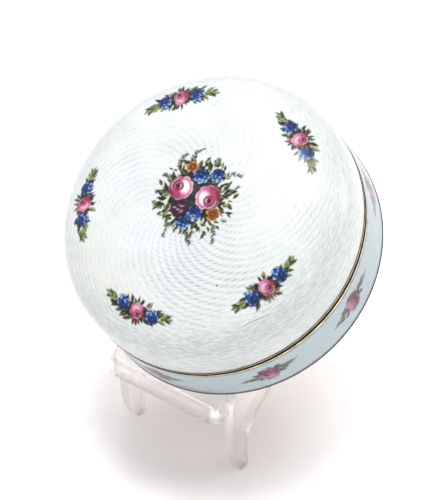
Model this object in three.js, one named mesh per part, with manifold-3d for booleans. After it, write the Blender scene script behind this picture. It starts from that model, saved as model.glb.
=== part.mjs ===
// A round enamelled trinket box with a lift-off domed lid, leaning on a small clear easel.
// Millimetres, +Z up. The box leans back on the easel and shows its lid to the front, which is -Y.
import * as THREE from 'three';
import * as BufferGeometryUtils from 'three/addons/utils/BufferGeometryUtils.js';
import Module from 'manifold-3d';

const wasm = await Module();
wasm.setup();

// Box: sizes of the body
const rimRadius = 38;
const baseHeight = 14.2;
const shellWall = 1.2;
const wallFlare = 0.35;
const floorThickness = 1.1;
const footEdgeProud = 0.35;
const floorStepHeight = 0.7;

// Box: gilt bands and the flange that centres the lid
const baseBandHeight = 1.6;
const lidBandHeight = 1;
const bandProud = 0.12;
const flangeWall = 0.8;
const flangeRise = 2.4;
const lidClearance = 0.35;
const seamGap = 0.4;

// Box: lid, a short straight wall under a dome with steep shoulders
const lidWallHeight = 2.9;
const domeRise = 17.1;
const domeRadialPower = 2.04;
const domeRisePower = 3.66;
const domeSteps = 15;
const domeInnerSteps = 11;

// Easel: how it holds the box
const boxTilt = THREE.MathUtils.degToRad(33.75);
const boxAside = -2;
const restHeight = 25.8;
const sideSpacing = 33.4;
const plateThickness = 2.7;

// Easel: hook and lip, measured from the lowest edge of the box
const lipReach = 2.9;
const lipRise = 2.4;
const lipDrop = 3.3;
const lipTopThickness = 0.9;
const lipCornerRadius = 4.6;
const hookNeck = 2.3;

// Easel: front legs
const legFrontSetback = 3.2;
const footSetback = 7;
const footLength = 2.8;
const legWidth = 6.2;
const kneeHeight = 12;
const archHeight = 17.9;
const archReach = 18.2;

// Easel: arms under the box, back panel and rear leg
const armLength = 55;
const armEndDepth = 8;
const panelLength = 24;
const panelThickness = 2.7;
const panelDrop = 0.6;
const rearLegWidth = 12;
const rearFootSetback = 61;
const rearFootLength = 3.4;
const rearLegBow = 5;

// Gap kept between pieces that touch, and roundness of the facets
const touchGap = 0.3;
const ringSegments = 72;
const arcSegments = 5;

const white = { color: 0xe9efee, roughness: 0.18, metalness: 0 };
const gilt = { color: 0xb79a5c, roughness: 0.32, metalness: 1 };
const clear = { color: 0xe6e8ea, roughness: 0.06, metalness: 0, transparent: true, opacity: 0.35 };

function named(name, geometry, look) {
  const mesh = new THREE.Mesh(geometry, new THREE.MeshStandardMaterial(look));
  mesh.name = name;
  return mesh;
}

// A profile of [radius, height] pairs turned around Z.
function turned(profile) {
  const points = profile.map(([radius, height]) => new THREE.Vector2(radius, height));
  return new THREE.LatheGeometry(points, ringSegments).rotateX(Math.PI / 2);
}

function ring(profile) {
  return turned([...profile, profile[0]]);
}

function solidOf(geometry) {
  const bare = geometry.clone();
  bare.deleteAttribute('normal');
  bare.deleteAttribute('uv');
  const merged = BufferGeometryUtils.mergeVertices(bare, 1e-4);
  return new wasm.Manifold(new wasm.Mesh({
    numProp: 3,
    vertProperties: new Float32Array(merged.attributes.position.array),
    triVerts: new Uint32Array(merged.index.array),
  }));
}

function geometryOf(solid) {
  const mesh = solid.getMesh();
  const geometry = new THREE.BufferGeometry();
  geometry.setAttribute('position', new THREE.BufferAttribute(mesh.vertProperties, 3));
  geometry.setIndex(new THREE.BufferAttribute(mesh.triVerts, 1));
  geometry.computeVertexNormals();
  return geometry;
}

// Base of the box, measured up its own axis from its underside
const wallBottom = floorThickness + touchGap;
const wallTop = baseHeight - baseBandHeight - touchGap;
const wallInner = rimRadius - shellWall;
const footRadius = rimRadius + wallFlare + footEdgeProud;

function basePlate() {
  const stepRadius = wallInner - touchGap;
  return turned([
    [0, 0],
    [footRadius, 0],
    [footRadius, floorThickness],
    [stepRadius, floorThickness],
    [stepRadius, floorThickness + floorStepHeight],
    [0, floorThickness + floorStepHeight],
  ]);
}

function baseWall() {
  return ring([
    [wallInner, wallBottom],
    [rimRadius + wallFlare, wallBottom],
    [rimRadius, wallTop],
    [wallInner, wallTop],
  ]);
}

// A band around the mouth with a thin flange standing up inside it.
function baseRim() {
  const bandBottom = baseHeight - baseBandHeight;
  const flangeOuter = rimRadius - shellWall - lidClearance;
  const flangeInner = flangeOuter - flangeWall;
  return ring([
    [flangeInner, bandBottom],
    [rimRadius + bandProud, bandBottom],
    [rimRadius + bandProud, baseHeight],
    [flangeOuter, baseHeight],
    [flangeOuter, baseHeight + flangeRise],
    [flangeInner, baseHeight + flangeRise],
  ]);
}

// Lid of the box, measured up the same axis
const lidBottom = baseHeight + seamGap;

function lidRim() {
  const outer = rimRadius + bandProud;
  const inner = rimRadius - shellWall;
  return ring([
    [inner, lidBottom],
    [outer, lidBottom],
    [outer, lidBottom + lidBandHeight],
    [inner, lidBottom + lidBandHeight],
  ]);
}

function domeCurve(radius, rise, foot, steps) {
  return Array.from({ length: steps + 1 }, (_, i) => {
    const angle = (i / steps) * Math.PI / 2;
    const across = i === steps ? 0 : Math.cos(angle) ** (2 / domeRadialPower);
    const up = Math.sin(angle) ** (2 / domeRisePower);
    return [radius * across, foot + rise * up];
  });
}

function lidShell() {
  const mouth = lidBottom + lidBandHeight + touchGap;
  const shoulder = baseHeight + lidWallHeight;
  const inside = domeCurve(rimRadius - shellWall, domeRise - shellWall, shoulder, domeInnerSteps);
  const outside = domeCurve(rimRadius, domeRise, shoulder, domeSteps);
  return turned([
    ...inside.reverse(),
    [rimRadius - shellWall, mouth],
    [rimRadius, mouth],
    ...outside,
  ]);
}

// The easel is drawn from the side: x is the way back from the lowest edge of the box, y the height
// above the ground. These two give a place by its distance up the slope of the box's underside
// from that lowest edge, and its distance below the underside.
const slopeBack = Math.cos(boxTilt);
const slopeUp = Math.sin(boxTilt);

function underBox(along, below) {
  return [
    along * slopeBack + below * slopeUp,
    restHeight + along * slopeUp - below * slopeBack,
  ];
}

// An outline seen from the side, as thick as given and centred across the easel.
function sideways(shape, thickness) {
  const geometry = new THREE.ExtrudeGeometry(shape, {
    depth: thickness, bevelEnabled: false, curveSegments: arcSegments,
  });
  geometry.translate(0, 0, -thickness / 2);
  const turn = new THREE.Matrix4().makeBasis(
    new THREE.Vector3(0, 1, 0), new THREE.Vector3(0, 0, 1), new THREE.Vector3(1, 0, 0),
  );
  return geometry.applyMatrix4(turn);
}

// The part of the plan inside which all front pieces lie, with round corners at the front.
function roundedPlan() {
  const half = sideSpacing / 2 + plateThickness / 2;
  const back = archReach + armLength;
  const front = -lipReach;
  const plan = new THREE.Shape();
  plan.moveTo(-half, back);
  plan.lineTo(-half, front + lipCornerRadius);
  plan.quadraticCurveTo(-half, front, -half + lipCornerRadius, front);
  plan.lineTo(half - lipCornerRadius, front);
  plan.quadraticCurveTo(half, front, half, front + lipCornerRadius);
  plan.lineTo(half, back);
  const tall = restHeight + armLength;
  const block = new THREE.ExtrudeGeometry(plan, {
    depth: tall + 2, bevelEnabled: false, curveSegments: arcSegments,
  });
  return solidOf(block.translate(0, 0, -1));
}

const lipTop = restHeight + lipRise;
const lipBottom = restHeight - lipDrop;
const lipInner = -touchGap * slopeBack - touchGap * slopeUp;

function hookTop(shape) {
  const inward = -lipReach + lipTopThickness;
  shape.lineTo(inward, lipTop);
  shape.quadraticCurveTo(-lipReach, lipTop, -lipReach, lipTop - lipTopThickness);
}

function sidePlate(side) {
  const archStart = footSetback + footLength - 0.4;
  const shape = new THREE.Shape();
  shape.moveTo(footSetback, 0);
  shape.lineTo(footSetback + footLength, 0);
  shape.quadraticCurveTo(archStart, kneeHeight - 3, legFrontSetback + legWidth + 1.2, kneeHeight);
  shape.quadraticCurveTo(legFrontSetback + legWidth + 3.6, archHeight - 2.2, archReach, archHeight);
  shape.lineTo(...underBox(armLength, armEndDepth));
  shape.lineTo(...underBox(armLength, touchGap));
  shape.lineTo(...underBox(0, touchGap));
  shape.lineTo(lipInner, restHeight - touchGap);
  hookTop(shape);
  shape.lineTo(-lipReach, lipBottom + 1.2);
  shape.quadraticCurveTo(-lipReach, lipBottom, -lipReach + 1.2, lipBottom);
  const neck = underBox(legFrontSetback / slopeBack, hookNeck);
  shape.quadraticCurveTo(legFrontSetback - 1.6, lipBottom, legFrontSetback, neck[1]);
  shape.lineTo(legFrontSetback, kneeHeight);
  shape.quadraticCurveTo(legFrontSetback + 0.6, kneeHeight / 3, footSetback, 0);
  const plate = sideways(shape, plateThickness).translate(side * sideSpacing / 2, 0, 0);
  return geometryOf(solidOf(plate).intersect(roundedPlan()));
}

const betweenSides = sideSpacing - plateThickness - 2 * touchGap;

function frontLip() {
  const shape = new THREE.Shape();
  shape.moveTo(lipInner, lipBottom);
  shape.lineTo(lipInner, restHeight - touchGap);
  hookTop(shape);
  shape.lineTo(-lipReach, lipBottom);
  return geometryOf(solidOf(sideways(shape, betweenSides)).intersect(roundedPlan()));
}

// A panel between the arms, with one leg moulded to its back that reaches the ground.
function backPanel() {
  const panel = new THREE.Shape();
  const lower = armLength - panelLength;
  panel.moveTo(...underBox(lower, panelDrop + panelThickness));
  panel.lineTo(...underBox(armLength, panelDrop + panelThickness));
  panel.lineTo(...underBox(armLength, panelDrop));
  panel.lineTo(...underBox(lower, panelDrop));

  const leg = new THREE.Shape();
  const behind = underBox(armLength, panelDrop + panelThickness / 2);
  const before = underBox(armLength - 3 * plateThickness, panelDrop + panelThickness / 2);
  leg.moveTo(rearFootSetback, 0);
  leg.lineTo(rearFootSetback + rearFootLength, 0);
  leg.quadraticCurveTo(behind[0] + rearLegBow + rearFootLength, behind[1] / 2, ...behind);
  leg.lineTo(...before);
  leg.quadraticCurveTo(before[0] + rearLegBow, behind[1] / 2, rearFootSetback, 0);

  const whole = solidOf(sideways(panel, betweenSides)).add(solidOf(sideways(leg, rearLegWidth)));
  return geometryOf(whole);
}

const box = new THREE.Group();
box.add(named('base_plate', basePlate(), gilt));
box.add(named('base_wall', baseWall(), white));
box.add(named('base_rim', baseRim(), gilt));
box.add(named('lid_rim', lidRim(), gilt));
box.add(named('lid_shell', lidShell(), white));
box.rotation.x = boxTilt;
box.position.set(boxAside, footRadius * slopeBack, restHeight + footRadius * slopeUp);

const easel = new THREE.Group();
easel.add(named('easel_side_left', sidePlate(-1), clear));
easel.add(named('easel_side_right', sidePlate(1), clear));
easel.add(named('easel_front_lip', frontLip(), clear));
easel.add(named('easel_back', backPanel(), clear));

// The origin is on the ground, in the middle of the whole object's plan.
const whole = new THREE.Group();
whole.add(box, easel);
whole.updateMatrixWorld(true);
const extent = new THREE.Box3().setFromObject(whole, true);
whole.position.set(
  -(extent.min.x + extent.max.x) / 2,
  -(extent.min.y + extent.max.y) / 2,
  -extent.min.z,
);

export default whole;
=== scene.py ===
# Looks of the round enamelled box on its clear easel. Lengths in the dictionaries are millimetres.
import math

import bpy
import numpy as np
from mathutils import Matrix, Vector


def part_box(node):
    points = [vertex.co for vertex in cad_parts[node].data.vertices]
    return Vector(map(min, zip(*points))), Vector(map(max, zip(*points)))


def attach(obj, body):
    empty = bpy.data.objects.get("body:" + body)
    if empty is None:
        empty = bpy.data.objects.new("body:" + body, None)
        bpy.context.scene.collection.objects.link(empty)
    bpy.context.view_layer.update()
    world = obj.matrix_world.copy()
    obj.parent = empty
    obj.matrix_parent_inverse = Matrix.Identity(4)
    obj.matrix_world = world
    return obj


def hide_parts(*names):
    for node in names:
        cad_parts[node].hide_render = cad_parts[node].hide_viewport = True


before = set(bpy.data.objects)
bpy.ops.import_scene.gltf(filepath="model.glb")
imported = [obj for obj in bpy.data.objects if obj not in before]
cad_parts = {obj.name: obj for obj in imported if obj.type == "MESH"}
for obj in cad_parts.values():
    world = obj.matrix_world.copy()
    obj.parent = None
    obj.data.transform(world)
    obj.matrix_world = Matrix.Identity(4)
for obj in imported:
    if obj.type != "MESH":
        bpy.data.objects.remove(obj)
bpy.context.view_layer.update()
mm = 0.001


# Where the box lies: it is drawn upright round its own axis and laid on the slope of the easel
boxPlace = {
    "tilt": 33.75,
    "rimRadius": 38.0,
    "baseHeight": 14.2,
    "seamGap": 0.4,
}
tilt = math.radians(boxPlace["tilt"])
sideways = np.array([1.0, 0.0, 0.0])
upSlope = np.array([0.0, math.cos(tilt), math.sin(tilt)])
outward = np.array([0.0, -math.sin(tilt), math.cos(tilt)])
plateLow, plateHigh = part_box("base_plate")
footRadius = (plateHigh.x - plateLow.x) / 2
boxFoot = np.array([
    (plateHigh.x + plateLow.x) / 2,
    plateHigh.y - footRadius * math.cos(tilt),
    plateLow.z + footRadius * math.sin(tilt),
])
print("frame loaded, box foot at", boxFoot.round(5))


def boxToWorld(across, up, high):  # box coordinates in millimetres to metres in the frame
    onPlate = np.multiply.outer(across, sideways) + np.multiply.outer(up, upSlope)
    return boxFoot + mm * (onPlate + np.multiply.outer(high, outward))


# Shader nodes written as expressions
class Wire:
    def __init__(self, nodes, socket):
        self.nodes = nodes
        self.socket = socket

    def maths(self, operation, *others):
        return self.nodes.make("ShaderNodeMath", {"operation": operation}, (self, *others))

    def __add__(self, other):
        return self.maths("ADD", other)

    def __sub__(self, other):
        return self.maths("SUBTRACT", other)

    def __rsub__(self, other):
        return self.nodes.make("ShaderNodeMath", {"operation": "SUBTRACT"}, (other, self))

    def __mul__(self, other):
        return self.maths("MULTIPLY", other)

    def __truediv__(self, other):
        return self.maths("DIVIDE", other)

    def __pow__(self, other):
        return self.maths("POWER", other)

    __radd__ = __add__
    __rmul__ = __mul__

    def cosine(self):
        return self.maths("COSINE")

    def clamped(self):
        return self.nodes.make("ShaderNodeClamp", {}, {"Value": self})

    def ramped(self, low, high):  # 0 below low, 1 above high, smooth between
        settings = {"interpolation_type": "SMOOTHSTEP"}
        inputs = {"Value": self, "From Min": low, "From Max": high}
        return self.nodes.make("ShaderNodeMapRange", settings, inputs)


class Nodes:
    def __init__(self, material):
        material.use_nodes = True
        self.tree = material.node_tree
        self.tree.nodes.clear()

    def make(self, kind, settings, inputs, output=0):
        node = self.tree.nodes.new(kind)
        for name, value in settings.items():
            setattr(node, name, value)
        pairs = inputs.items() if isinstance(inputs, dict) else enumerate(inputs)
        for name, value in pairs:
            if isinstance(value, Wire):
                self.tree.links.new(value.socket, node.inputs[name])
            else:
                node.inputs[name].default_value = value
        return Wire(self, node.outputs[output]) if node.outputs else None

    def blend(self, amount, first, second):
        settings = {"data_type": "RGBA"}
        return self.make("ShaderNodeMix", settings, {0: amount, 6: first, 7: second}, 2)

    def vector(self, operation, first, second, output=0):
        return self.make("ShaderNodeVectorMath", {"operation": operation}, (first, second), output)

    def place(self):
        return self.make("ShaderNodeTexCoord", {}, {}, "Object")

    def noise(self, where, scale, detail=3.0, roughness=0.5):
        inputs = {"Vector": where, "Scale": scale, "Detail": detail, "Roughness": roughness}
        return self.make("ShaderNodeTexNoise", {}, inputs)

    def attribute(self, name, output="Fac"):
        return self.make("ShaderNodeAttribute", {"attribute_name": name}, {}, output)

    def surface(self, inputs):
        shader = self.make("ShaderNodeBsdfPrincipled", {}, inputs)
        self.make("ShaderNodeOutputMaterial", {}, {"Surface": shader})


def linear(red, green, blue):  # 0 to 255 as seen on a screen, to a linear colour
    seen = np.array([red, green, blue]) / 255
    return np.where(seen <= 0.04045, seen / 12.92, ((seen + 0.055) / 1.055) ** 2.4)


def shade(red, green, blue):
    return (*(float(v) for v in linear(red, green, blue)), 1.0)


# Enamel over engine turning: rows of small dashes that swirl outward, seen through white enamel
enamelLook = {
    "rows": 48,
    "rowSharpness": 1.5,
    "swirl": 0.0015,
    "ringPitch": 1.0,
    "dashLean": -0.35,
    "lidDashStrength": 0.28,
    "wallDashStrength": 0.25,
    "streakSwirl": 0.048,
    "streaksAround": 17.0,
    "streaksAcross": 2.1,
    "warmthScale": 34.0,
    "patchScale": 48.0,
    "cloudScale": 95.0,
    "grainScale": 1100.0,
    "patchFrom": (0.36, 0.66),
    "cloudFrom": (0.36, 0.7),
    "grainFrom": (0.34, 0.62),
    "warmFrom": (0.46, 0.66),
    "shadeFrom": (0.25, 0.8),
    # the lower right side of the lid, where the dashes grow crisper and steep parts get more painted shade;
    # the wall takes one even share of both
    "crispShadedSide": (0.55, -0.83),
    "crispShadedFrom": (2.0, 26.0),
    "wallCrispShaded": 0.4,
    "steepFrom": (0.25, 0.8),
    # white for the flat parts, and a darker tone for steep parts that is partly the enamel's own and partly
    # painted shade
    "lidWhite": (232, 235, 236),
    "lidShoulderAndShade": (198, 204, 202),
    "wallWhite": (176, 191, 194),
    "wallShoulderAndShade": (164, 180, 184),
    "warmth": (222, 225, 212),
    "dash": (138, 144, 154),
    "bumpDepth": 0.00008,
    "pit": (16.8, -16.0),
    "pitRadius": 0.3,
    "pitColour": (60, 52, 46),
    "hairlineStart": (25.6, -22.1),
    "hairlineEnd": (30.9, -15.3),
    "hairlineWidth": 0.16,
    "hairlineBend": 0.004,
    "hairlineStrength": 0.8,
}


def engineTurning(angle, along):  # 1 in the middle of a dash
    look = enamelLook
    swirled = angle - along * along * look["swirl"]
    ring = along / look["ringPitch"]
    offRing = ring - ring.maths("ROUND")
    leaning = swirled * look["rows"] + offRing * (math.tau * look["dashLean"])
    rowWave = (leaning.cosine() * 0.5 + 0.5) ** look["rowSharpness"]
    ringWave = (offRing * math.tau).cosine() * 0.4 + 0.6
    return rowWave * ringWave


def combedStreaks(nodes, angle, along):  # light and dark streaks that run round the box
    look = enamelLook
    turned = angle - along * look["streakSwirl"]
    combed = nodes.make("ShaderNodeCombineXYZ", {}, {
        "X": turned.cosine() * look["streaksAround"],
        "Y": turned.maths("SINE") * look["streaksAround"],
        "Z": along * look["streaksAcross"],
    })
    return nodes.noise(combed, 1.0, 3.0, 0.62) - 0.5


def hairline(across, up, clouds):  # 1 on the fine crack near the rim of the lid
    look = enamelLook
    start, end = np.array(look["hairlineStart"]), np.array(look["hairlineEnd"])
    length = float(np.linalg.norm(end - start))
    middle, run = (start + end) / 2, (end - start) / length
    alongLine = (across - middle[0]) * run[0] + (up - middle[1]) * run[1]
    offLine = (across - middle[0]) * -run[1] + (up - middle[1]) * run[0]
    offLine = offLine + alongLine * alongLine * look["hairlineBend"] + (clouds - 0.5) * 0.5
    width = look["hairlineWidth"]
    line = 1.0 - offLine.maths("ABSOLUTE").ramped(width * 0.3, width)
    ends = 1.0 - alongLine.maths("ABSOLUTE").ramped(length * 0.3, length * 0.5)
    return line * ends * look["hairlineStrength"]


def pit(nodes, across, up):  # 1 in the small dark pit of the lid
    look = enamelLook
    onPlate = nodes.make("ShaderNodeCombineXYZ", {}, {"X": across, "Y": up})
    away = nodes.vector("DISTANCE", onPlate, (*look["pit"], 0.0), "Value")
    return 1.0 - away.ramped(look["pitRadius"] * 0.4, look["pitRadius"])


def enamelMaterial(part, worn):
    look = enamelLook
    material = bpy.data.materials.new(part + "Enamel")
    nodes = Nodes(material)
    white, shoulder = shade(*look[part + "White"]), shade(*look[part + "ShoulderAndShade"])

    # where the point is on the box
    place = nodes.place()
    fromFoot = nodes.vector("SUBTRACT", place, tuple(boxFoot))
    across = nodes.vector("DOT_PRODUCT", fromFoot, tuple(sideways / mm), "Value")
    up = nodes.vector("DOT_PRODUCT", fromFoot, tuple(upSlope / mm), "Value")
    angle = up.maths("ARCTAN2", across)
    along = nodes.attribute("along")
    flat = 1.0 - nodes.attribute("steep").ramped(*look["steepFrom"])
    # crisper dashes and more painted shade on the lower right side of the lid
    crispAndShaded = look["wallCrispShaded"]
    if worn:
        crispAcross, crispUp = look["crispShadedSide"]
        crispAndShaded = (across * crispAcross + up * crispUp).ramped(*look["crispShadedFrom"])

    # dashes and streaks, stronger in patches
    patches = nodes.noise(place, look["patchScale"], 2.0)
    clouds = nodes.noise(place, look["cloudScale"], 2.0)
    grain = nodes.noise(place, look["grainScale"], 2.0)
    strength = patches.ramped(*look["patchFrom"]) * 0.7 + clouds.ramped(*look["cloudFrom"]) * 0.3
    strength = strength + grain.ramped(*look["grainFrom"]) * 0.35
    dash = engineTurning(angle, along) * strength * (flat * 0.5 + 0.5) * (crispAndShaded * 0.9 + 1.0)
    streak = combedStreaks(nodes, angle, along) * (1.25 - flat) * (crispAndShaded * 1.6 + 1.7)

    # colour: cloudy white, darker and bluer on the steep shoulder (partly the enamel's own tone, partly
    # painted shade, strongest on the lower right side of the lid), then the dashes, the wear and the paint
    shading = (clouds.ramped(*look["shadeFrom"]) * 0.3 + (grain - 0.5) * 0.5).clamped()
    cloudy = nodes.blend(shading, white, shoulder)
    if worn:
        warm = nodes.noise(place, look["warmthScale"], 2.0).ramped(*look["warmFrom"]) * 0.5
        cloudy = nodes.blend(warm, cloudy, shade(*look["warmth"]))
    # painted shade: steep parts, most of all on the lower right side of the lid, are blended toward the
    # darker tone, together with the streaks
    ground = nodes.blend(((1.0 - flat) * (crispAndShaded * 0.3 + 0.7) + streak).clamped(), cloudy, shoulder)
    dark = (dash * look[part + "DashStrength"] + streak.maths("MAXIMUM", 0.0) * 0.35).clamped()
    if worn:
        dark = dark.maths("MAXIMUM", hairline(across, up, clouds))
    dashed = nodes.blend(dark, ground, shade(*look["dash"]))
    if worn:
        dashed = nodes.blend(pit(nodes, across, up), dashed, shade(*look["pitColour"]))
    cover = nodes.attribute("paint", "Alpha")
    colour = nodes.blend(cover, dashed, nodes.attribute("paint", "Color"))

    relief = (dash * -1.0 + grain * 0.12 + streak * 0.3) * (1.0 - cover)
    bump = {"Strength": 0.6, "Distance": look["bumpDepth"], "Height": relief}
    nodes.surface({
        "Base Color": colour,
        "Roughness": dash * 0.15 + 0.3,
        "Metallic": 0.0,
        "IOR": 1.45,
        "Specular IOR Level": 0.3,
        "Coat Weight": 0.3,
        "Coat Roughness": 0.1,
        "Normal": nodes.make("ShaderNodeBump", {}, bump),
    })
    return material


# Gilt metal, darker where its darkening attribute is high: real patina in the grooves, and painted shade in
# the seam between lid and base, on the inner faces of the bands and at the foot
giltLook = {
    "bright": (232, 220, 190),
    "worn": (172, 156, 124),
    "dark": (24, 19, 14),
    "patchScale": 260.0,
    "fineScale": 1900.0,
    "bumpDepth": 0.00003,
}


def giltMaterial():
    look = giltLook
    material = bpy.data.materials.new("giltMetal")
    nodes = Nodes(material)
    place = nodes.place()
    patches = nodes.noise(place, look["patchScale"], 4.0, 0.6)
    fine = nodes.noise(place, look["fineScale"], 3.0)
    metal = nodes.blend(patches.ramped(0.35, 0.68), shade(*look["bright"]), shade(*look["worn"]))
    grimeAndShade = (nodes.attribute("grimeAndShade") + (fine - 0.5) * 0.25).clamped()
    bump = {"Strength": 0.25, "Distance": look["bumpDepth"], "Height": fine}
    nodes.surface({
        "Base Color": nodes.blend(grimeAndShade, metal, shade(*look["dark"])),
        "Metallic": 1.0 - grimeAndShade * 0.95,
        "Specular IOR Level": 0.12,
        "Roughness": patches * 0.22 + grimeAndShade * 0.45 + 0.14,
        "Normal": nodes.make("ShaderNodeBump", {}, bump),
    })
    return material


# Clear plastic; its bevelled edges get a less clear, whiter finish as a painted highlight
clearLook = {
    "tint": (255, 250, 250),
    "bending": 1.45,
    "rippleScale": 120.0,
    "rippleDepth": 0.0002,
    "faces": {"roughness": 0.05, "clearness": 1.0, "alpha": 0.6},
    # edges: a painted highlight, whiter because less of the light passes through
    "edges": {"roughness": 0.2, "clearness": 0.5, "alpha": 0.95},
}


def clearMaterial(name, finish):
    look = clearLook
    material = bpy.data.materials.new(name)
    nodes = Nodes(material)
    ripple = nodes.noise(nodes.place(), look["rippleScale"], 2.0)
    bump = {"Strength": 0.3, "Distance": look["rippleDepth"], "Height": ripple}
    nodes.surface({
        "Base Color": shade(*look["tint"]),
        "Roughness": finish["roughness"],
        "IOR": look["bending"],
        "Transmission Weight": finish["clearness"],
        "Alpha": finish["alpha"],
        "Normal": nodes.make("ShaderNodeBump", {}, bump),
    })
    return material


# Painting: each stroke colours the points near it, in a flat chart measured in millimetres
def smooth(edge, soft):
    t = np.clip(edge / soft + 0.5, 0, 1)
    return t * t * (3 - 2 * t)


class Painting:
    def __init__(self, x, y, soft=0.15):
        self.x, self.y, self.soft = x, y, soft
        self.colour = np.zeros((len(x), 3))
        self.cover = np.zeros(len(x))

    def near(self, x, y, reach):
        return np.flatnonzero((abs(self.x - x) < reach) & (abs(self.y - y) < reach))

    def lay(self, where, amount, colour):
        amount = amount[:, None]
        self.colour[where] = np.where(
            self.cover[where][:, None] > 0.02, self.colour[where] * (1 - amount) + colour * amount, colour
        )
        self.cover[where] = np.maximum(self.cover[where], amount[:, 0])

    def add(self, chart, region):  # takes over another chart's paint in a region, where it covers more
        painted = (chart.cover > self.cover) & region
        self.colour[painted], self.cover[painted] = chart.colour[painted], chart.cover[painted]

    def local(self, where, x, y, angle):
        dx, dy = self.x[where] - x, self.y[where] - y
        c, s = math.cos(angle), math.sin(angle)
        return dx * c + dy * s, dy * c - dx * s

    def spot(self, x, y, radius, colour, strength=1.0, stretch=1.0, angle=0.0, soft=None):
        where = self.near(x, y, radius * max(1, stretch) + 0.5)
        u, v = self.local(where, x, y, angle)
        edge = radius - np.hypot(u / stretch, v)
        self.lay(where, smooth(edge, soft or self.soft) * strength, colour)

    def leaf(self, x, y, angle, length, width, dark, light, bend=0.0):
        where = self.near(x, y, length * 0.6 + 0.4)
        u, v = self.local(where, x, y, angle)
        t = np.clip(u / (length / 2), -1, 1)
        v = v - bend * length * (t * t - 0.5)
        half = width / 2 * (1 - abs(t) ** 1.8) * (1 - 0.25 * t)
        amount = smooth(half - abs(v), self.soft) * smooth(length / 2 - abs(u), self.soft)
        rim = smooth(half + 0.12 - abs(v), self.soft) * smooth(length / 2 + 0.1 - abs(u), self.soft)
        self.lay(where, rim * 0.55, dark * 0.5)
        side = smooth(v, width * 0.4)[:, None]
        self.lay(where, amount, dark * (1 - side) + light * side)

    def stem(self, points, width, colour, strength=1.0):
        points = np.array(points, float)
        middle = (points.min(0) + points.max(0)) / 2
        reach = (points.max(0) - points.min(0)).max() / 2 + width + 0.4
        where = self.near(*middle, reach)
        best = np.full(len(where), 1e9)
        place = np.c_[self.x[where], self.y[where]]
        for a, b in zip(points, points[1:]):
            t = np.clip(((place - a) @ (b - a)) / max(1e-9, (b - a) @ (b - a)), 0, 1)
            best = np.minimum(best, np.linalg.norm(place - a - t[:, None] * (b - a), axis=1))
        self.lay(where, smooth(width / 2 - best, self.soft) * strength, colour)

    # a stroke with thin ends, on an arc
    def crescent(self, x, y, radius, middle, halfSweep, width, colour, strength=1.0):
        where = self.near(x, y, radius + width + 0.4)
        dx, dy = self.x[where] - x, self.y[where] - y
        away = (np.arctan2(dy, dx) - middle + math.pi) % math.tau - math.pi
        swell = np.clip(1 - (away / halfSweep) ** 2, 0, 1)
        edge = width / 2 * swell - abs(np.hypot(dx, dy) - radius)
        self.lay(where, smooth(edge, self.soft) * np.minimum(1, swell * 3) * strength, colour)


paintDepth = 1.5  # above 1 the colours sink darker into the glaze
paintColours = {
    "darkest": (58, 12, 30),
    "crimson": (126, 26, 62),
    "deepRose": (170, 58, 96),
    "rose": (194, 102, 141),
    "pink": (222, 158, 190),
    "palePink": (245, 223, 236),
    "navy": (18, 32, 70),
    "deepBlue": (38, 72, 126),
    "blue": (68, 114, 184),
    "skyBlue": (136, 174, 220),
    "paleBlue": (196, 218, 244),
    "orange": (198, 132, 82),
    "paleOrange": (236, 190, 124),
    "brown": (92, 44, 20),
    "plum": (84, 36, 74),
    "mauve": (150, 100, 148),
    "darkGreen": (30, 38, 20),
    "green": (62, 74, 34),
    "olive": (126, 130, 80),
    "paleGreen": (186, 190, 142),
    "white": (250, 248, 244),
    "greyGreen": (126, 137, 120),
}
paints = {name: linear(*colour) ** paintDepth for name, colour in paintColours.items()}


fullRose = 2.5  # roses above this size get a great white petal
fullBlues = 1.95  # blue flowers above this size get more pale flecks


def polar(x, y, turn, reach):  # the place that lies so far from x, y, in that direction
    return x + reach * math.cos(turn), y + reach * math.sin(turn)


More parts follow.
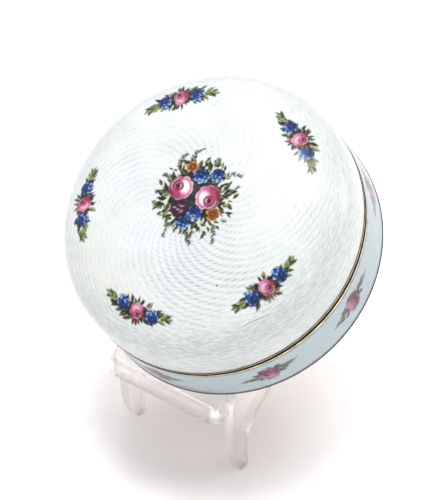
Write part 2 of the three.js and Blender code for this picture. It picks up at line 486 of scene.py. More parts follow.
# heart: the side where the dark middle lies; bright: the side where the great pale petal lies
def paintRose(painting, x, y, size, heart, bright, draw, petals=9):
    p = paints
    pale = 1 if size > fullRose else 0.28

    def toward(turn, reach):
        return polar(x, y, turn, reach * size)

    painting.spot(x, y, size * 1.02, p["darkest"], 0.85)
    painting.spot(x, y, size * 0.92, p["deepRose"])
    for i in range(petals):
        turn = heart + (i + draw.uniform(-0.2, 0.2)) * math.tau / petals
        lit = (0.5 + 0.5 * math.cos(turn - bright)) ** 1.3
        px, py = toward(turn, 0.63)
        petal = (p["crimson"] + p["deepRose"]) * 0.5 * (1 - lit) + p["pink"] * lit
        painting.spot(px, py, draw.uniform(0.32, 0.4) * size, petal, 1.0, 1.2, turn + math.pi / 2)
        shine = (0.12 + 0.6 * lit) * pale
        painting.crescent(px, py, 0.33 * size, turn + 0.3, 1.3, 0.12 * size, p["palePink"], shine)
        painting.crescent(px, py, 0.36 * size, turn + 2.4, 0.9, 0.09 * size, p["crimson"], 0.75 - 0.4 * lit)
    painting.spot(*toward(heart, 0.08), 0.66 * size, p["rose"], 1.0, 1.0, 0.0, 0.3 * size)

    # arcs of the petals behind the heart
    hx, hy = toward(heart, 0.24)
    for i, tone in enumerate(("crimson", "palePink", "crimson", "pink", "crimson")):
        shift = draw.uniform(-0.35, 0.35)
        painting.crescent(hx, hy, (0.66 - 0.065 * i) * size, heart + shift, 1.35, 0.075 * size, p[tone], 0.8)

    # the great pale petal
    across = bright + math.pi / 2
    painting.spot(*toward(bright, 0.3), 0.5 * size, p["pink"], 1.0, 1.3, across, 0.22 * size)
    painting.spot(*toward(bright, 0.32), 0.42 * size, p["palePink"], pale, 1.3, across, 0.28 * size)
    if size < fullRose:
        painting.crescent(x, y, 0.36 * size, bright + 0.5, 1.1, 0.09 * size, p["deepRose"], 0.8)
        painting.crescent(x, y, 0.6 * size, bright - 0.6, 1.0, 0.08 * size, p["crimson"], 0.6)
    painting.spot(*toward(bright, 0.42), 0.24 * size, p["white"], 0.9 * pale, 1.6, across, 0.3 * size)
    painting.crescent(x, y, 0.76 * size, bright + 0.15, 1.2, 0.07 * size, p["rose"], 0.7)

    painting.spot(hx, hy, 0.38 * size, p["deepRose"], 0.95, 1.1, heart, 0.14 * size)
    painting.crescent(hx, hy, 0.41 * size, heart, 1.6, 0.12 * size, p["crimson"], 0.9)
    painting.crescent(hx, hy, 0.4 * size, bright, 1.2, 0.07 * size, p["crimson"], 0.8)
    painting.crescent(hx, hy, 0.3 * size, bright + 2.2, 1.7, 0.1 * size, p["pink"], 0.9)
    painting.crescent(hx, hy, 0.22 * size, heart + 0.4, 1.9, 0.12 * size, p["crimson"])
    painting.crescent(hx, hy, 0.18 * size, bright - 0.2, 1.3, 0.09 * size, p["palePink"], 0.8)
    painting.spot(hx, hy, 0.12 * size, p["darkest"], 0.95, 1.3, heart)


def paintBlues(painting, x, y, size, turn, draw):  # forget-me-nots heaped together, pale below and dark above
    p = paints
    painting.spot(x, y, size * 0.95, p["navy"])
    count = 7
    below = math.radians(-60)
    for i in range(count):
        angle = turn + (i + draw.uniform(-0.2, 0.2)) * math.tau / count
        px, py = polar(x, y, angle, size * draw.uniform(0.52, 0.66))
        lit = 0.5 + 0.5 * math.cos(angle - below)
        petal = p["deepBlue"] * (1 - lit) + p["blue"] * lit
        painting.spot(px, py, 0.37 * size, p["navy"])
        painting.spot(px, py, 0.3 * size, petal, 1.0, draw.uniform(1.0, 1.2), angle)
        sheen = p["skyBlue"] * (1 - lit) + p["paleBlue"] * lit
        turned = angle + draw.uniform(-0.6, 0.6)
        painting.crescent(px, py, 0.24 * size, turned, 1.1, 0.2 * size, sheen, 0.3 + 0.65 * lit)
    for i in range(5):
        angle = turn + 0.4 + i * math.tau / 5
        px, py = polar(x, y, angle, 0.24 * size)
        painting.spot(px, py, 0.17 * size, p["blue"] if i % 2 else p["deepBlue"], 0.9)
    painting.crescent(x, y, 0.42 * size, turn + 1.0, 1.0, 0.1 * size, p["navy"], 0.9)
    painting.spot(x, y, 0.15 * size, p["navy"])
    for i in range(8 if size > fullBlues else 4):  # pale flecks, most of them below
        angle = math.radians(-75) + draw.uniform(-1.3, 1.3)
        px, py = polar(x, y, angle, size * draw.uniform(0.3, 0.85))
        painting.crescent(px, py, 0.16 * size, draw.uniform(0, 6), 1.2, 0.11 * size, p["paleBlue"], 0.75)


def paintOpenFlower(painting, x, y, size, turn, dark, petal, light):
    painting.spot(x, y, size * 0.85, dark)
    count = 5
    for i in range(count):
        angle = turn + i * math.tau / count
        px, py = polar(x, y, angle, 0.6 * size)
        painting.spot(px, py, 0.36 * size, petal, 1.0, 1.15, angle)
        painting.crescent(px, py, 0.28 * size, angle + 0.4, 1.3, 0.18 * size, light, 0.8)
        painting.crescent(px, py, 0.38 * size, angle - 1.7, 0.8, 0.08 * size, dark, 0.7)
        painting.stem([(x, y), polar(x, y, angle, 0.75 * size)], 0.07 * size, dark, 0.6)
    painting.spot(x, y, 0.6 * size, dark, 0.6, 1.0, 0.0, 0.6 * size)
    painting.spot(x, y, 0.24 * size, dark)
    painting.spot(x, y, 0.1 * size, light, 0.9)


def paintLeaves(painting, places, draw, long):
    p = paints
    tones = [("darkGreen", "green"), ("darkGreen", "olive"), ("green", "olive"), ("olive", "paleGreen")]
    for x, y, angle, tone in places:
        dark, light = tones[tone]
        length = draw.uniform(*long)
        width = length * draw.uniform(0.32, 0.46)
        painting.leaf(x, y, angle, length, width, p[dark], p[light], draw.uniform(-0.12, 0.12))


def paintTendril(painting, x, y, angle, length, curl, draw):
    p = paints
    steps = 14
    points, leaves = [(x, y)], []
    for i in range(steps):
        angle += curl * (0.2 + 1.6 * i / steps) / steps
        x, y = polar(x, y, angle, length / steps)
        points.append((x, y))
        for side in (-1, 1):
            lean = angle + side * draw.uniform(0.5, 1.0)
            long = 1.3 - 0.05 * i
            if draw.uniform() < 0.55 and i < steps - 2:
                leaves.append((*polar(x, y, lean, 0.4 * long), lean, long))
    painting.stem(points, 0.17, p["green"])
    painting.stem(points[-5:], 0.22, p["darkGreen"])
    for i, (lx, ly, lean, long) in enumerate(leaves):
        dark, light = (p["darkGreen"], p["olive"]) if i % 3 else (p["green"], p["paleGreen"])
        painting.leaf(lx, ly, lean, long, long * 0.32, dark, light)


# Bouquet in the middle of the lid: places in millimetres from the middle, then sizes and turns
bouquet = {
    "middle": (0.6, 0.8),
    "roses": [(-3.8, 1.5, 3.2, 2.9, 0.65), (4.0, 2.0, 3.25, -0.92, 3.7)],
    "blues": [(-0.5, 6.1, 2.25), (3.3, 7.9, 2.0), (2.9, -2.9, 2.25), (1.4, -6.0, 2.0)],
    "oranges": [(-3.9, 7.4, 1.6), (7.3, -1.2, 1.9)],
    "plums": [(-1.7, -3.2, 2.2)],
    "leafRings": [(74, 7.6, 10.6, 1.1, 2.1, 4), (66, 6.6, 8.9, 1.6, 2.7, 4), (50, 4.8, 7.4, 2.3, 3.5, 3)],
    "tendrils": [
        (-6.6, 5.6, 2.2, 5.0, -1.7), (-4.6, 8.2, 1.9, 5.4, -1.5), (1.2, 9.4, 1.2, 3.0, 1.4),
        (5.2, 8.6, 0.8, 4.4, -1.3), (7.4, 5.0, 0.4, 3.8, 1.5), (8.0, -3.2, -0.8, 5.6, -0.7),
        (3.8, -7.4, -1.3, 3.6, 1.1), (-1.4, -6.8, -2.0, 4.8, 1.2), (-4.8, -3.8, -2.5, 4.6, -1.3),
        (-6.6, -0.6, 3.2, 3.4, 1.3), (-7.0, 2.4, 2.7, 3.2, 1.1),
    ],
    "seed": 11,
}


def paintBouquet(painting):
    draw = np.random.default_rng(bouquet["seed"])
    p = paints
    cx, cy = bouquet["middle"]
    painting.spot(cx, cy, 8.6, p["paleGreen"], 0.16, 1.1, 1.4, 4.0)
    for x, y, angle, length, curl in bouquet["tendrils"]:
        paintTendril(painting, x, y, angle, length, curl, draw)
    for count, near, far, short, long, tones in bouquet["leafRings"]:
        leaves = []
        for i in range(count):
            turn = i * math.tau / count + draw.uniform(-0.08, 0.08)
            reach = draw.uniform(near, far)
            lean = turn + draw.uniform(-0.8, 0.8)
            tone = int(draw.integers(0, tones))
            leaves.append((*polar(cx, cy, turn, reach), lean, tone))
        paintLeaves(painting, leaves, draw, (short, long))
    painting.spot(cx, cy, 4.6, p["darkGreen"], 0.97, 1.3, 1.1, 0.8)
    for i in range(26):
        turn, reach = draw.uniform(0, math.tau), draw.uniform(0.5, 5.4)
        lx, ly = cx + reach * math.cos(turn), cy + 1.2 * reach * math.sin(turn)
        painting.leaf(lx, ly, turn, 1.9, 0.6, p["darkGreen"] * 0.6, p["green"])
    for x, y, size in bouquet["plums"]:
        painting.spot(x, y, size * 0.98, p["plum"])
        for i in range(14):
            turn, reach = draw.uniform(0, math.tau), size * draw.uniform(0.2, 0.8)
            sx, sy = polar(x, y, turn, reach)
            tone = (p["mauve"], p["deepRose"], p["palePink"])[i % 3]
            painting.crescent(sx, sy, 0.28 * size, draw.uniform(0, 6), 1.1, 0.13 * size, tone, 0.6)
    for x, y, size in bouquet["oranges"]:
        paintOpenFlower(painting, x, y, size, 0.6, p["brown"], p["orange"], p["paleOrange"])
    for i, (x, y, size) in enumerate(bouquet["blues"]):
        paintBlues(painting, x, y, size, 0.5 + i, draw)
    for x, y, size, heart, bright in bouquet["roses"]:
        paintRose(painting, x, y, size, heart, bright, draw)


# Five sprays round the lid, each a rose between two blue flowers
spray = {
    "radius": 30.0,
    "angles": [128.9, 57.6, -21.9, -89.0, -156.9],
    "tall": [1.35, 1.15, 1.1, 1.1, 1.25],
    "halfLength": 10.0,
    "roseSize": 1.95,
    "blueSize": 1.85,
    "blueReach": 4.35,
    "chartAngle": 0.6,
    "chartHeight": 5.5,
    "halfAngle": 20.5,
    "finePitch": 0.36,
    "coarsePitch": 1.4,
    "firstSeed": 20,
}


def paintSpray(painting, seed):
    draw = np.random.default_rng(seed)
    p = paints
    leaves = []
    for side in (-1, 1):
        for i in range(30):
            t = i / 29
            x = side * (0.6 + t * (spray["halfLength"] - 2.0))
            spread = 2.55 * (1 - t) ** 0.7 + 0.3
            y = draw.uniform(-1, 1) * spread
            lean = (0 if side > 0 else math.pi) + side * math.atan2(y, 1.8) * 0.9 + draw.uniform(-0.3, 0.3)
            leaves.append((x, y, lean, 3 if t > 0.8 else int(draw.integers(0, 4))))
        for i, y in enumerate((0.5, -0.45, 0.0)):
            tip = side * (spray["halfLength"] - 1.2 + 0.5 * (i == 2))
            leaves.append((tip, y, (0 if side > 0 else math.pi) + side * y * 1.1, 2 + (i == 2)))
    paintLeaves(painting, leaves, draw, (1.5, 2.4))
    rim = []
    for i in range(13):
        turn = i * math.tau / 13 + draw.uniform(-0.2, 0.2)
        rim.append((2.1 * math.cos(turn), 2.35 * math.sin(turn), turn, int(draw.integers(0, 3))))
    paintLeaves(painting, rim, draw, (1.2, 1.8))
    painting.spot(0, 0, 1.7, p["darkGreen"], 0.95, 2.7, 0.0, 0.5)
    for i in range(4):  # small reddish buds beside the rose
        turn = draw.uniform(0, math.tau)
        painting.leaf(2.5 * math.cos(turn), 2.3 * math.sin(turn), turn, 1.0, 0.5, p["crimson"], p["orange"])
    for side in (-1, 1):
        size = spray["blueSize"] * draw.uniform(0.94, 1.06)
        across, up = side * spray["blueReach"], draw.uniform(-0.35, 0.35)
        paintBlues(painting, across, up, size, draw.uniform(0, 1), draw)
    heart = draw.uniform(0, 2.4)
    paintRose(painting, 0, 0, spray["roseSize"], heart, heart + draw.uniform(2.2, 3.6), draw, 7)


# Rose sprigs round the wall of the base
sprig = {
    "angles": [-87.0, -42.4, -1.4, 44.5, 91.0, 136.0, 181.0, 226.0],
    "height": 7.0,
    "halfLength": 6.9,
    "roseSize": 2.3,
    "wide": 1.12,
    "tall": 1.35,
    "lean": 0.12,
    "chartAngle": 0.25,
    "chartHeight": 2.7,
    "halfAngle": 10.6,
    "finePitch": 0.28,
    "coarsePitch": 1.1,
    "firstSeed": 40,
}


def paintSprig(painting, seed):
    draw = np.random.default_rng(seed)
    p = paints
    lean = sprig["lean"]
    for side in (-1, 1):
        forward = 0 if side > 0 else math.pi
        tip = side * sprig["halfLength"]
        painting.stem([(0, 0), (tip * 0.5, tip * 0.5 * lean), (tip, tip * lean)], 0.3, p["greyGreen"], 0.8)
        for i in range(13):
            t = i / 12
            x = side * (1.3 + t * (sprig["halfLength"] - 2.3))
            y = x * lean + draw.uniform(-1, 1) * 1.5 * (1 - t) ** 0.7
            dark = p["darkGreen"] * (1 - t) + p["greyGreen"] * t
            light = p["green"] * (1 - t) + p["greyGreen"] * t
            turn = forward + side * (y - x * lean) * 0.5
            painting.leaf(x, y, turn, 2.2 - 0.6 * t, 0.9 - 0.35 * t, dark, light)
    for i in range(9):
        turn = i * math.tau / 9 + draw.uniform(-0.2, 0.2)
        tone = p["crimson"] if i % 3 == 0 else p["darkGreen"]
        painting.leaf(1.7 * math.cos(turn), 1.5 * math.sin(turn), turn, 1.2, 0.5, tone, p["greyGreen"])
    heart = draw.uniform(0, 3)
    size = sprig["roseSize"]
    paintRose(painting, 0, 0, size, heart, heart + 2.6, draw, 6)
    painting.spot(0, 0, size * 0.7, p["crimson"], 0.5, 1.0, 0.0, 0.6 * size)
    for i in range(13):  # dark folds
        turn = heart + draw.uniform(-2.2, 2.2)
        reach = size * draw.uniform(0.1, 0.85)
        tone = p["darkest"] if i % 2 else p["crimson"]
        fx, fy = polar(0, 0, turn, reach)
        painting.crescent(fx, fy, 0.3 * size, turn, 1.3, 0.2 * size, tone, 0.9)
    painting.spot(0, 0, size * 1.1, p["plum"], 0.3)


# Turned surfaces
def meshPiece(name, points, faces, material, node, floats, paint=None):
    mesh = bpy.data.meshes.new(name)
    mesh.from_pydata(points.tolist(), [], faces)
    mesh.update()
    mesh.polygons.foreach_set("use_smooth", np.ones(len(mesh.polygons), bool))
    for key, values in floats.items():
        mesh.attributes.new(key, "FLOAT", "POINT").data.foreach_set("value", np.asarray(values, np.float32))
    if paint is not None:
        layer = mesh.color_attributes.new(name="paint", type="FLOAT_COLOR", domain="POINT")
        layer.data.foreach_set("color", np.c_[paint.colour, paint.cover].astype(np.float32).ravel())
    mesh.materials.append(material)
    piece = bpy.data.objects.new(name, mesh)
    bpy.context.scene.collection.objects.link(piece)
    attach(piece, "root")
    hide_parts(node)
    print("made", name, len(mesh.polygons), "faces")


def crowdedAngles(painted):  # angles all round, close together where the paint lies
    stops = []
    for centre in sorted(c % 360 for c in painted["angles"]):
        stops += [centre - painted["halfAngle"], centre + painted["halfAngle"]]
    angles = []
    for i, start in enumerate(stops):
        end = stops[(i + 1) % len(stops)] + (360 if i + 1 == len(stops) else 0)
        pitch = painted["finePitch"] if i % 2 == 0 else painted["coarsePitch"]
        count = max(2, round((end - start) / pitch))
        angles += list(start + (end - start) * np.arange(count) / count)
    return np.radians(angles)


# rows of points that each go all round, joined in order; closed joins the last row to the first
def gridFaces(rows, columns, start=0, closed=False):
    faces = []
    for i in range(rows if closed else rows - 1):
        here, there = start + i * columns, start + (i + 1) % rows * columns
        for j in range(columns):
            k = (j + 1) % columns
            faces.append((here + j, here + k, there + k, there + j))
    return faces


ringSegments = 480


def ringPiece(name, profile, material, node):  # profile rows: radius, height, and darkening from patina and painted shade
    profile = np.array(profile)
    angles = np.arange(ringSegments) * math.tau / ringSegments
    radius, height, grimeAndShade = (np.repeat(profile[:, i], ringSegments) for i in range(3))
    turn = np.tile(angles, len(profile))
    points = boxToWorld(radius * np.cos(turn), radius * np.sin(turn), height)
    faces = gridFaces(len(profile), ringSegments, closed=True)
    meshPiece(name, points, faces, material, node, {"grimeAndShade": grimeAndShade})


# a closed outline of (radius, height, darkening from patina and painted shade), its corners rounded
def roundedOutline(corners, bevel, steps=4):
    corners = np.array(corners, float)
    made = []
    for i, corner in enumerate(corners):
        before, after = corners[i - 1], corners[(i + 1) % len(corners)]
        into, out = before - corner, after - corner
        reach = min(bevel, np.linalg.norm(into[:2]) / 2.01, np.linalg.norm(out[:2]) / 2.01)
        start = corner + into / np.linalg.norm(into[:2]) * reach
        end = corner + out / np.linalg.norm(out[:2]) * reach
        for t in np.linspace(0, 1, steps + 1):
            point = (1 - t) ** 2 * start + 2 * t * (1 - t) * corner + t * t * end
            point[2] = corner[2]
            made.append(point)
    return made


# Lid
lidShape = {
    "wall": 1.2,
    "bandHeight": 1.0,
    "shoulder": 17.1,
    "rise": 17.1,
    "radialPower": 2.04,
    "risePower": 3.66,
    "domeSteps": 6000,
    "wallSteps": 40,
    "bouquetReach": 13.6,
    "bouquetCells": 156,
    "sprayInner": 25.2,
    "sprayOuter": 34.9,
    "ringsToSprays": 15,
    "ringsInSprays": 55,
    "ringsToMouth": 26,
    "ringsInside": 17,
}


def lidMeridian():  # from the top to the mouth: length along the surface, radius, height
    s = lidShape
    turn = np.linspace(math.pi / 2, 0, s["domeSteps"])
    radius = boxPlace["rimRadius"] * np.cos(turn) ** (2 / s["radialPower"])
    height = s["shoulder"] + s["rise"] * np.sin(turn) ** (2 / s["risePower"])
    radius[0] = 0
    mouth = boxPlace["baseHeight"] + boxPlace["seamGap"] + s["bandHeight"]
    wall = np.linspace(s["shoulder"], mouth, s["wallSteps"])[1:]
    radius = np.r_[radius, np.full(len(wall), boxPlace["rimRadius"])]
    height = np.r_[height, wall]
    along = np.r_[0, np.cumsum(np.hypot(np.diff(radius), np.diff(height)))]
    return along, radius, height


def bouquetNet():  # a square net pulled round, so that it carries fine paint evenly
    cells, reach = lidShape["bouquetCells"], lidShape["bouquetReach"]
    line = np.linspace(-1, 1, cells + 1)
    u, v = np.meshgrid(line, line, indexing="ij")
    flatX = (u * np.sqrt(1 - v * v / 2)).ravel() * reach
    flatY = (v * np.sqrt(1 - u * u / 2)).ravel() * reach
    side = cells + 1
    faces = [
        (i * side + j, (i + 1) * side + j, (i + 1) * side + j + 1, i * side + j + 1)
        for i in range(cells) for j in range(cells)
    ]
    edge = [i * side for i in range(cells)] + [cells * side + j for j in range(cells)]
    edge += [i * side + cells for i in range(cells, 0, -1)] + [j for j in range(cells, 0, -1)]
    return flatX, flatY, faces, edge


# as many angles as the edge of the net has, crowded at the sprays and in step with that edge
def sprayAngles(edgeTurn):
    count = len(edgeTurn)
    fine = crowdedAngles(spray)
    places = np.arange(count) * len(fine) / count
    fine = np.interp(places, np.arange(len(fine) + 1), np.r_[fine, fine[0] + math.tau])
    shift = np.argmin(abs((fine - edgeTurn[0] + math.pi) % math.tau - math.pi))
    fine = np.roll(fine, -shift)
    fine[count - shift:] += math.tau
    return fine + round((edgeTurn[0] - fine[0]) / math.tau) * math.tau


def lidPaint(along, turn):
    paint = Painting(along * np.cos(turn), along * np.sin(turn))
    paintBouquet(paint)
    for i, (centre, tall) in enumerate(zip(spray["angles"], spray["tall"])):
        offset = (turn - math.radians(centre) + math.pi) % math.tau - math.pi
        height = along - spray["radius"]
        chart = Painting(-offset * spray["radius"], height / tall)
        paintSpray(chart, spray["firstSeed"] + i)
        paint.add(chart, (abs(offset) < spray["chartAngle"]) & (abs(height) < spray["chartHeight"]))
    return paint


def makeLid(material):
    s = lidShape
    along, radius, height = lidMeridian()
    slopeR, slopeH = np.gradient(radius, along), np.gradient(height, along)
    flatX, flatY, faces, edge = bouquetNet()
    edgeTurn = np.unwrap(np.arctan2(flatY[edge], flatX[edge]))
    fine = sprayAngles(edgeTurn)
    count = len(edge)

    # rings from the net to the mouth
    reach, inner, outer = s["bouquetReach"], s["sprayInner"], s["sprayOuter"]
    rings = np.r_[
        np.linspace(reach, inner, s["ringsToSprays"])[1:],
        np.linspace(inner, outer, s["ringsInSprays"])[1:],
        np.linspace(outer, along[-1], s["ringsToMouth"])[1:],
    ]
    share = np.clip((rings - reach) / (inner - reach), 0, 1)
    share = share * share * (3 - 2 * share)
    turn = edgeTurn[None, :] * (1 - share[:, None]) + fine[None, :] * share[:, None]
    outerAlong = np.r_[np.hypot(flatX, flatY), np.repeat(rings, count)]
    outerTurn = np.r_[np.arctan2(flatY, flatX), turn.ravel()]
    first = len(flatX)
    for j in range(count):
        k = (j + 1) % count
        faces.append((edge[j], first + j, first + k, edge[k]))
    faces += [(a, d, c, b) for a, b, c, d in gridFaces(len(rings), count, first)]

    # inside of the lid, a wall's thickness in
    inside = np.linspace(along[-1], 0, s["ringsInside"])[:-1]
    insideR = np.interp(inside, along, radius) + s["wall"] * np.interp(inside, along, slopeH)
    insideH = np.interp(inside, along, height) - s["wall"] * np.interp(inside, along, slopeR)
    start = len(outerAlong)
    insideTurn = np.tile(fine, len(inside))
    lastRing = first + (len(rings) - 1) * count
    for j in range(count):
        k = (j + 1) % count
        faces.append((lastRing + j, start + j, start + k, lastRing + k))
    faces += [(a, d, c, b) for a, b, c, d in gridFaces(len(inside), count, start)]
    apex = start + len(insideTurn)
    tail = start + (len(inside) - 1) * count
    faces += [(tail + j, apex, tail + (j + 1) % count) for j in range(count)]

    r = np.r_[np.interp(outerAlong, along, radius), np.repeat(insideR, count), 0]
    h = np.r_[np.interp(outerAlong, along, height), np.repeat(insideH, count), height[0] - s["wall"]]
    t = np.r_[outerTurn, insideTurn, 0]
    a = np.r_[outerAlong, np.repeat(inside, count), 0]
    points = boxToWorld(r * np.cos(t), r * np.sin(t), h)
    paint = lidPaint(a, t)
    paint.cover[start:] = 0
    floats = {"along": a, "steep": np.interp(a, along, -slopeH)}
    meshPiece("lid", points, faces, material, "lid_shell", floats, paint)


# Base wall
wallShape = {
    "bottom": 0.37,
    "top": 12.6,
    "flare": 0.6,
    "thickness": 1.2,
    "paintRows": 30,
    "rowsBelow": 5,
    "rowsAbove": 6,
    "rowsInside": 4,
    "alongFrom": 52,
}


def makeBaseWall(material):
    s = wallShape
    angles = crowdedAngles(sprig)
    middle, half = sprig["height"], sprig["chartHeight"]
    rows = np.r_[
        np.linspace(s["bottom"], middle - half, s["rowsBelow"])[:-1],
        np.linspace(middle - half, middle + half, s["paintRows"]),
        np.linspace(middle + half, s["top"], s["rowsAbove"])[1:],
    ]
    share = (rows - s["bottom"]) / (s["top"] - s["bottom"])
    outerR = boxPlace["rimRadius"] + s["flare"] * (1 - share)
    innerR = boxPlace["rimRadius"] - s["thickness"]
    profileR = np.r_[outerR, np.full(s["rowsInside"], innerR)]
    profileH = np.r_[rows, np.linspace(s["top"], s["bottom"], s["rowsInside"])]
    count = len(angles)
    r, h = np.repeat(profileR, count), np.repeat(profileH, count)
    t = np.tile(angles, len(profileR))
    faces = gridFaces(len(profileR), count, closed=True)
    points = boxToWorld(r * np.cos(t), r * np.sin(t), h)
    paint = Painting(t, h)
    for i, centre in enumerate(sprig["angles"]):
        offset = (t - math.radians(centre) + math.pi) % math.tau - math.pi
        chart = Painting(offset * boxPlace["rimRadius"] / sprig["wide"], (h - middle) / sprig["tall"])
        paintSprig(chart, sprig["firstSeed"] + i)
        paint.add(chart, abs(offset) < sprig["chartAngle"])
    paint.cover[len(rows) * count:] = 0
    floats = {"along": s["alongFrom"] + (s["top"] - h), "steep": np.ones(len(h))}
    meshPiece("baseWall", points, faces, material, "base_wall", floats, paint)


# Gilt bands
bands = {
    "proud": 0.12,
    "baseBand": 1.6,
    "flangeWall": 0.8,
    "flangeRise": 2.4,
    "lidClearance": 0.35,
    "grooveDeep": 0.28,
    "grooveHigh": 0.36,
    "goldFrom": 0.46,
    "goldTo": 0.56,
    "seamFrom": 0.42,
    "seamDeep": 0.3,
    "lidSeamHigh": 0.3,
    "lidGoldFrom": 0.44,
    "lidGoldTo": 0.3,
    "lidGroove": 0.14,
    "rounding": 0.12,
}


def makeBands(material):  # rows of the outlines: radius, height, and darkening from patina and painted shade
    s, rim, seam = bands, boxPlace["rimRadius"], boxPlace["baseHeight"]
    outer = rim + s["proud"]
    inner = rim - lidShape["wall"]
    bottom = seam - s["baseBand"]
    flangeOuter = inner - s["lidClearance"]
    flangeInner = flangeOuter - s["flangeWall"]
    flangeTop = seam + s["flangeRise"]
    # the last number of each row darkens the gilt: patina in the groove, painted shade in the seam and on the
    # inner faces
    baseBand = roundedOutline([
        (flangeInner, bottom, 0.35), (rim - s["grooveDeep"], bottom, 1.0), (rim + 0.05, bottom + 0.04, 1.0),
        (outer - 0.03, bottom + s["grooveHigh"], 1.0), (outer, bottom + s["goldFrom"], 0.1),
        (outer, seam - s["goldTo"], 0.0), (outer - 0.08, seam - s["seamFrom"], 1.0),
        (outer - s["seamDeep"], seam, 1.0), (flangeOuter, seam, 1.0),
        (flangeOuter, flangeTop, 0.9), (flangeInner, flangeTop, 0.3),
    ], s["rounding"])
    ringPiece("baseBand", baseBand, material, "base_rim")
    low = seam + boxPlace["seamGap"]
    high = low + lidShape["bandHeight"]
    lidBand = roundedOutline([
        (inner, low, 1.0), (outer - s["seamDeep"], low, 1.0), (outer - 0.08, low + s["lidSeamHigh"], 1.0),
        (outer, low + s["lidGoldFrom"], 0.25), (outer, high - s["lidGoldTo"], 0.1),
        (outer - 0.02, high - s["lidGroove"], 1.0), (rim - 0.1, high - 0.04, 1.0),
        (rim - 0.2, high, 1.0), (inner, high, 0.5),
    ], s["rounding"])
    ringPiece("lidBand", lidBand, material, "lid_rim")


# Floor of the base; its edge is painted dark as a line at the foot, partly dark metal and partly painted
# shade, and its underside is painted a little darker as shade
floorShape = {
    "thickness": 1.1,
    "step": 0.7,
    "stepGap": 0.05,
    "edgeBevel": 0.2,
    "edgeHeight": 0.5,
    "rings": (1.0, 8.0, 16.0, 24.0, 31.0, 36.0),
}


def makeBaseFloor(material):
    s = floorShape
    radius = footRadius / mm
    inner = boxPlace["rimRadius"] - wallShape["thickness"] - s["stepGap"]
    bevel, edge, top = s["edgeBevel"], s["edgeHeight"], s["thickness"] + s["step"]
    profile = [(r, 0.0, 0.25) for r in s["rings"]]
    profile += [(radius - bevel, 0.0, 0.7), (radius - bevel * 0.3, bevel * 0.2, 1.0)]
    profile += [(radius, bevel * 0.7, 1.0), (radius, edge - 0.06, 1.0), (radius - 0.08, edge, 1.0)]
    profile += [(inner, edge, 1.0), (inner, s["thickness"], 0.9), (inner, top, 0.7)]
    profile += [(r, top, 0.15) for r in reversed(s["rings"])]
    ringPiece("baseFloor", profile, material, "base_plate")


# Easel: its solids keep their form and get rounded edges, which carry a painted highlight
easelLook = {
    "bevel": 0.32,
    "bevelSteps": 3,
    "sharpAngle": 40,
    "weldWithin": 0.01,
    "nodes": ["easel_side_left", "easel_side_right", "easel_front_lip", "easel_back"],
}


def dressEasel(material, edgeHighlight):
    s = easelLook
    for name in s["nodes"]:
        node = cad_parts[name]
        for slot in node.material_slots:
            slot.material = material
        node.data.materials.append(edgeHighlight)
        weld = node.modifiers.new("weld", "WELD")
        weld.merge_threshold = s["weldWithin"] * mm
        bevel = node.modifiers.new("bevel", "BEVEL")
        bevel.width = s["bevel"] * mm
        bevel.segments = s["bevelSteps"]
        # the bevels take the whiter edge finish, a painted highlight
        bevel.material = len(node.data.materials) - 1
        bevel.limit_method = "ANGLE"
        bevel.angle_limit = math.radians(s["sharpAngle"])
        bevel.harden_normals = True
    print("dressed the easel")


# The pieces, made and dressed
lidEnamel = enamelMaterial("lid", worn=True)
wallEnamel = enamelMaterial("wall", worn=False)
giltMetal = giltMaterial()
clearPlastic = clearMaterial("clearPlastic", clearLook["faces"])
clearEdgeHighlight = clearMaterial("clearEdgeHighlight", clearLook["edges"])
print("enamel, gilt and plastic ready")
makeLid(lidEnamel)
makeBaseWall(wallEnamel)
makeBands(giltMetal)
makeBaseFloor(giltMetal)
dressEasel(clearPlastic, clearEdgeHighlight)


# Camera, from the place of the seam's middle in the picture
cameraSet = {
    "azimuth": 36.0,
    "elevation": 39.76,
    "focalPixels": 2000.0,
    "longSide": 500.0,
    "seamRight": -0.0337,
    "seamDown": -0.1392,
    "seamAway": 13.0746,
    "sensorWidth": 36.0,
    "sees": (0.01, 50),
}


def makeCamera():
    s = cameraSet
    azimuth, elevation = math.radians(s["azimuth"]), math.radians(s["elevation"])
    right = Vector((math.cos(azimuth), math.sin(azimuth), 0))
    level = math.cos(elevation)
    forward = Vector((-math.sin(azimuth) * level, math.cos(azimuth) * level, -math.sin(elevation)))
    up = right.cross(forward)
    radius = boxPlace["rimRadius"] * mm
    seamMiddle = Vector(boxToWorld(0.0, 0.0, boxPlace["baseHeight"]))
    data = bpy.data.cameras.new("camera")
    data.sensor_width = s["sensorWidth"]
    data.lens = s["focalPixels"] * s["sensorWidth"] / s["longSide"]
    data.clip_start, data.clip_end = s["sees"]
    camera = bpy.data.objects.new("camera", data)
    camera.location = (
        seamMiddle - right * s["seamRight"] * radius + up * s["seamDown"] * radius
        - forward * s["seamAway"] * radius
    )
    camera.rotation_mode = "QUATERNION"
    camera.rotation_quaternion = Matrix((right, up, -forward)).transposed().to_quaternion()
    bpy.context.scene.collection.objects.link(camera)
    bpy.context.scene.camera = camera
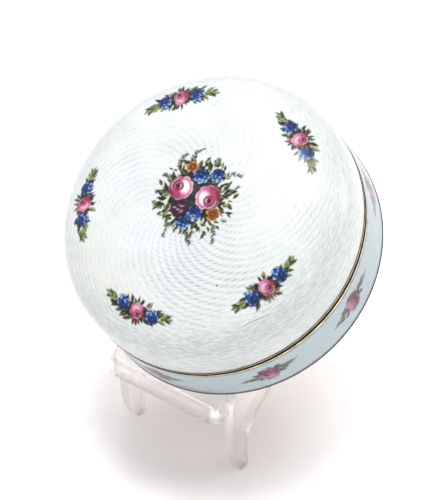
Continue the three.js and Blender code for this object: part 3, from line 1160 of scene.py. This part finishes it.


# Pale floor with a painted shadow under the box and a painted glow round it, and soft studio light
studio = {
    "floorSize": 6.0,
    "floorColour": (252, 245, 248),
    "floorPatches": (253, 249, 248),
    "patchScale": 6.0,
    "shadowMiddle": (5.0, -16.0),
    "shadowColour": (229, 222, 222),
    "shadowCore": (8.0, 28.0),
    "shadowFade": (19.0, 45.0),
    "paintedFloorGlow": 0.2,
    "worldColour": (0.98, 0.99, 1.0),
    "worldStrength": 0.86,
    "lampAim": (0.0, 0.0, 0.045),
    "lamps": [
        {"name": "overheadLamp", "place": (-0.02, -0.03, 1.0), "size": 0.32, "power": 3.6},
        {"name": "rightLamp", "place": (0.68, 0.62, 0.6), "size": 0.45, "power": 2.2},
        {"name": "leftLamp", "place": (-0.55, 0.7, 0.6), "size": 0.4, "power": 1.2},
    ],
}


def makeFloor():
    s = studio
    half = s["floorSize"] / 2
    mesh = bpy.data.meshes.new("floor")
    corners = [(-half, -half, 0), (half, -half, 0), (half, half, 0), (-half, half, 0)]
    mesh.from_pydata(corners, [], [(0, 1, 2, 3)])
    floor = bpy.data.objects.new("floor", mesh)
    bpy.context.scene.collection.objects.link(floor)
    material = bpy.data.materials.new("paleFloor")
    nodes = Nodes(material)
    place = nodes.place()
    patches = nodes.noise(place, s["patchScale"])
    tone = nodes.blend(patches, shade(*s["floorColour"]), shade(*s["floorPatches"]))
    middle = tuple(v * mm for v in (*s["shadowMiddle"], 0.0))
    away = nodes.vector("DISTANCE", place, middle, "Value") / mm
    # painted shadow: the floor darkens toward shadowColour near shadowMiddle, and a painted glow brightens it
    # farther out
    tone = nodes.blend(away.ramped(*s["shadowCore"]), shade(*s["shadowColour"]), tone)
    glow = nodes.blend(away.ramped(*s["shadowFade"]), (0.0, 0.0, 0.0, 1.0), (*[s["paintedFloorGlow"]] * 3, 1.0))
    nodes.surface({"Base Color": tone, "Roughness": 0.75, "Emission Color": glow, "Emission Strength": 1.0})
    mesh.materials.append(material)


def makeLight():
    s = studio
    world = bpy.data.worlds.new("studioWorld")
    bpy.context.scene.world = world
    world.use_nodes = True
    background = world.node_tree.nodes["Background"]
    background.inputs["Color"].default_value = (*s["worldColour"], 1)
    background.inputs["Strength"].default_value = s["worldStrength"]
    for lamp in s["lamps"]:
        data = bpy.data.lights.new(lamp["name"], "AREA")
        data.shape = "DISK"
        data.size = lamp["size"]
        data.energy = lamp["power"]
        made = bpy.data.objects.new(lamp["name"], data)
        made.location = lamp["place"]
        aim = Vector(s["lampAim"]) - made.location
        made.rotation_mode = "QUATERNION"
        made.rotation_quaternion = aim.to_track_quat("-Z", "Y")
        bpy.context.scene.collection.objects.link(made)
    bpy.context.scene.view_settings.view_transform = "Standard"
    print("studio ready")


makeCamera()
makeFloor()
makeLight()
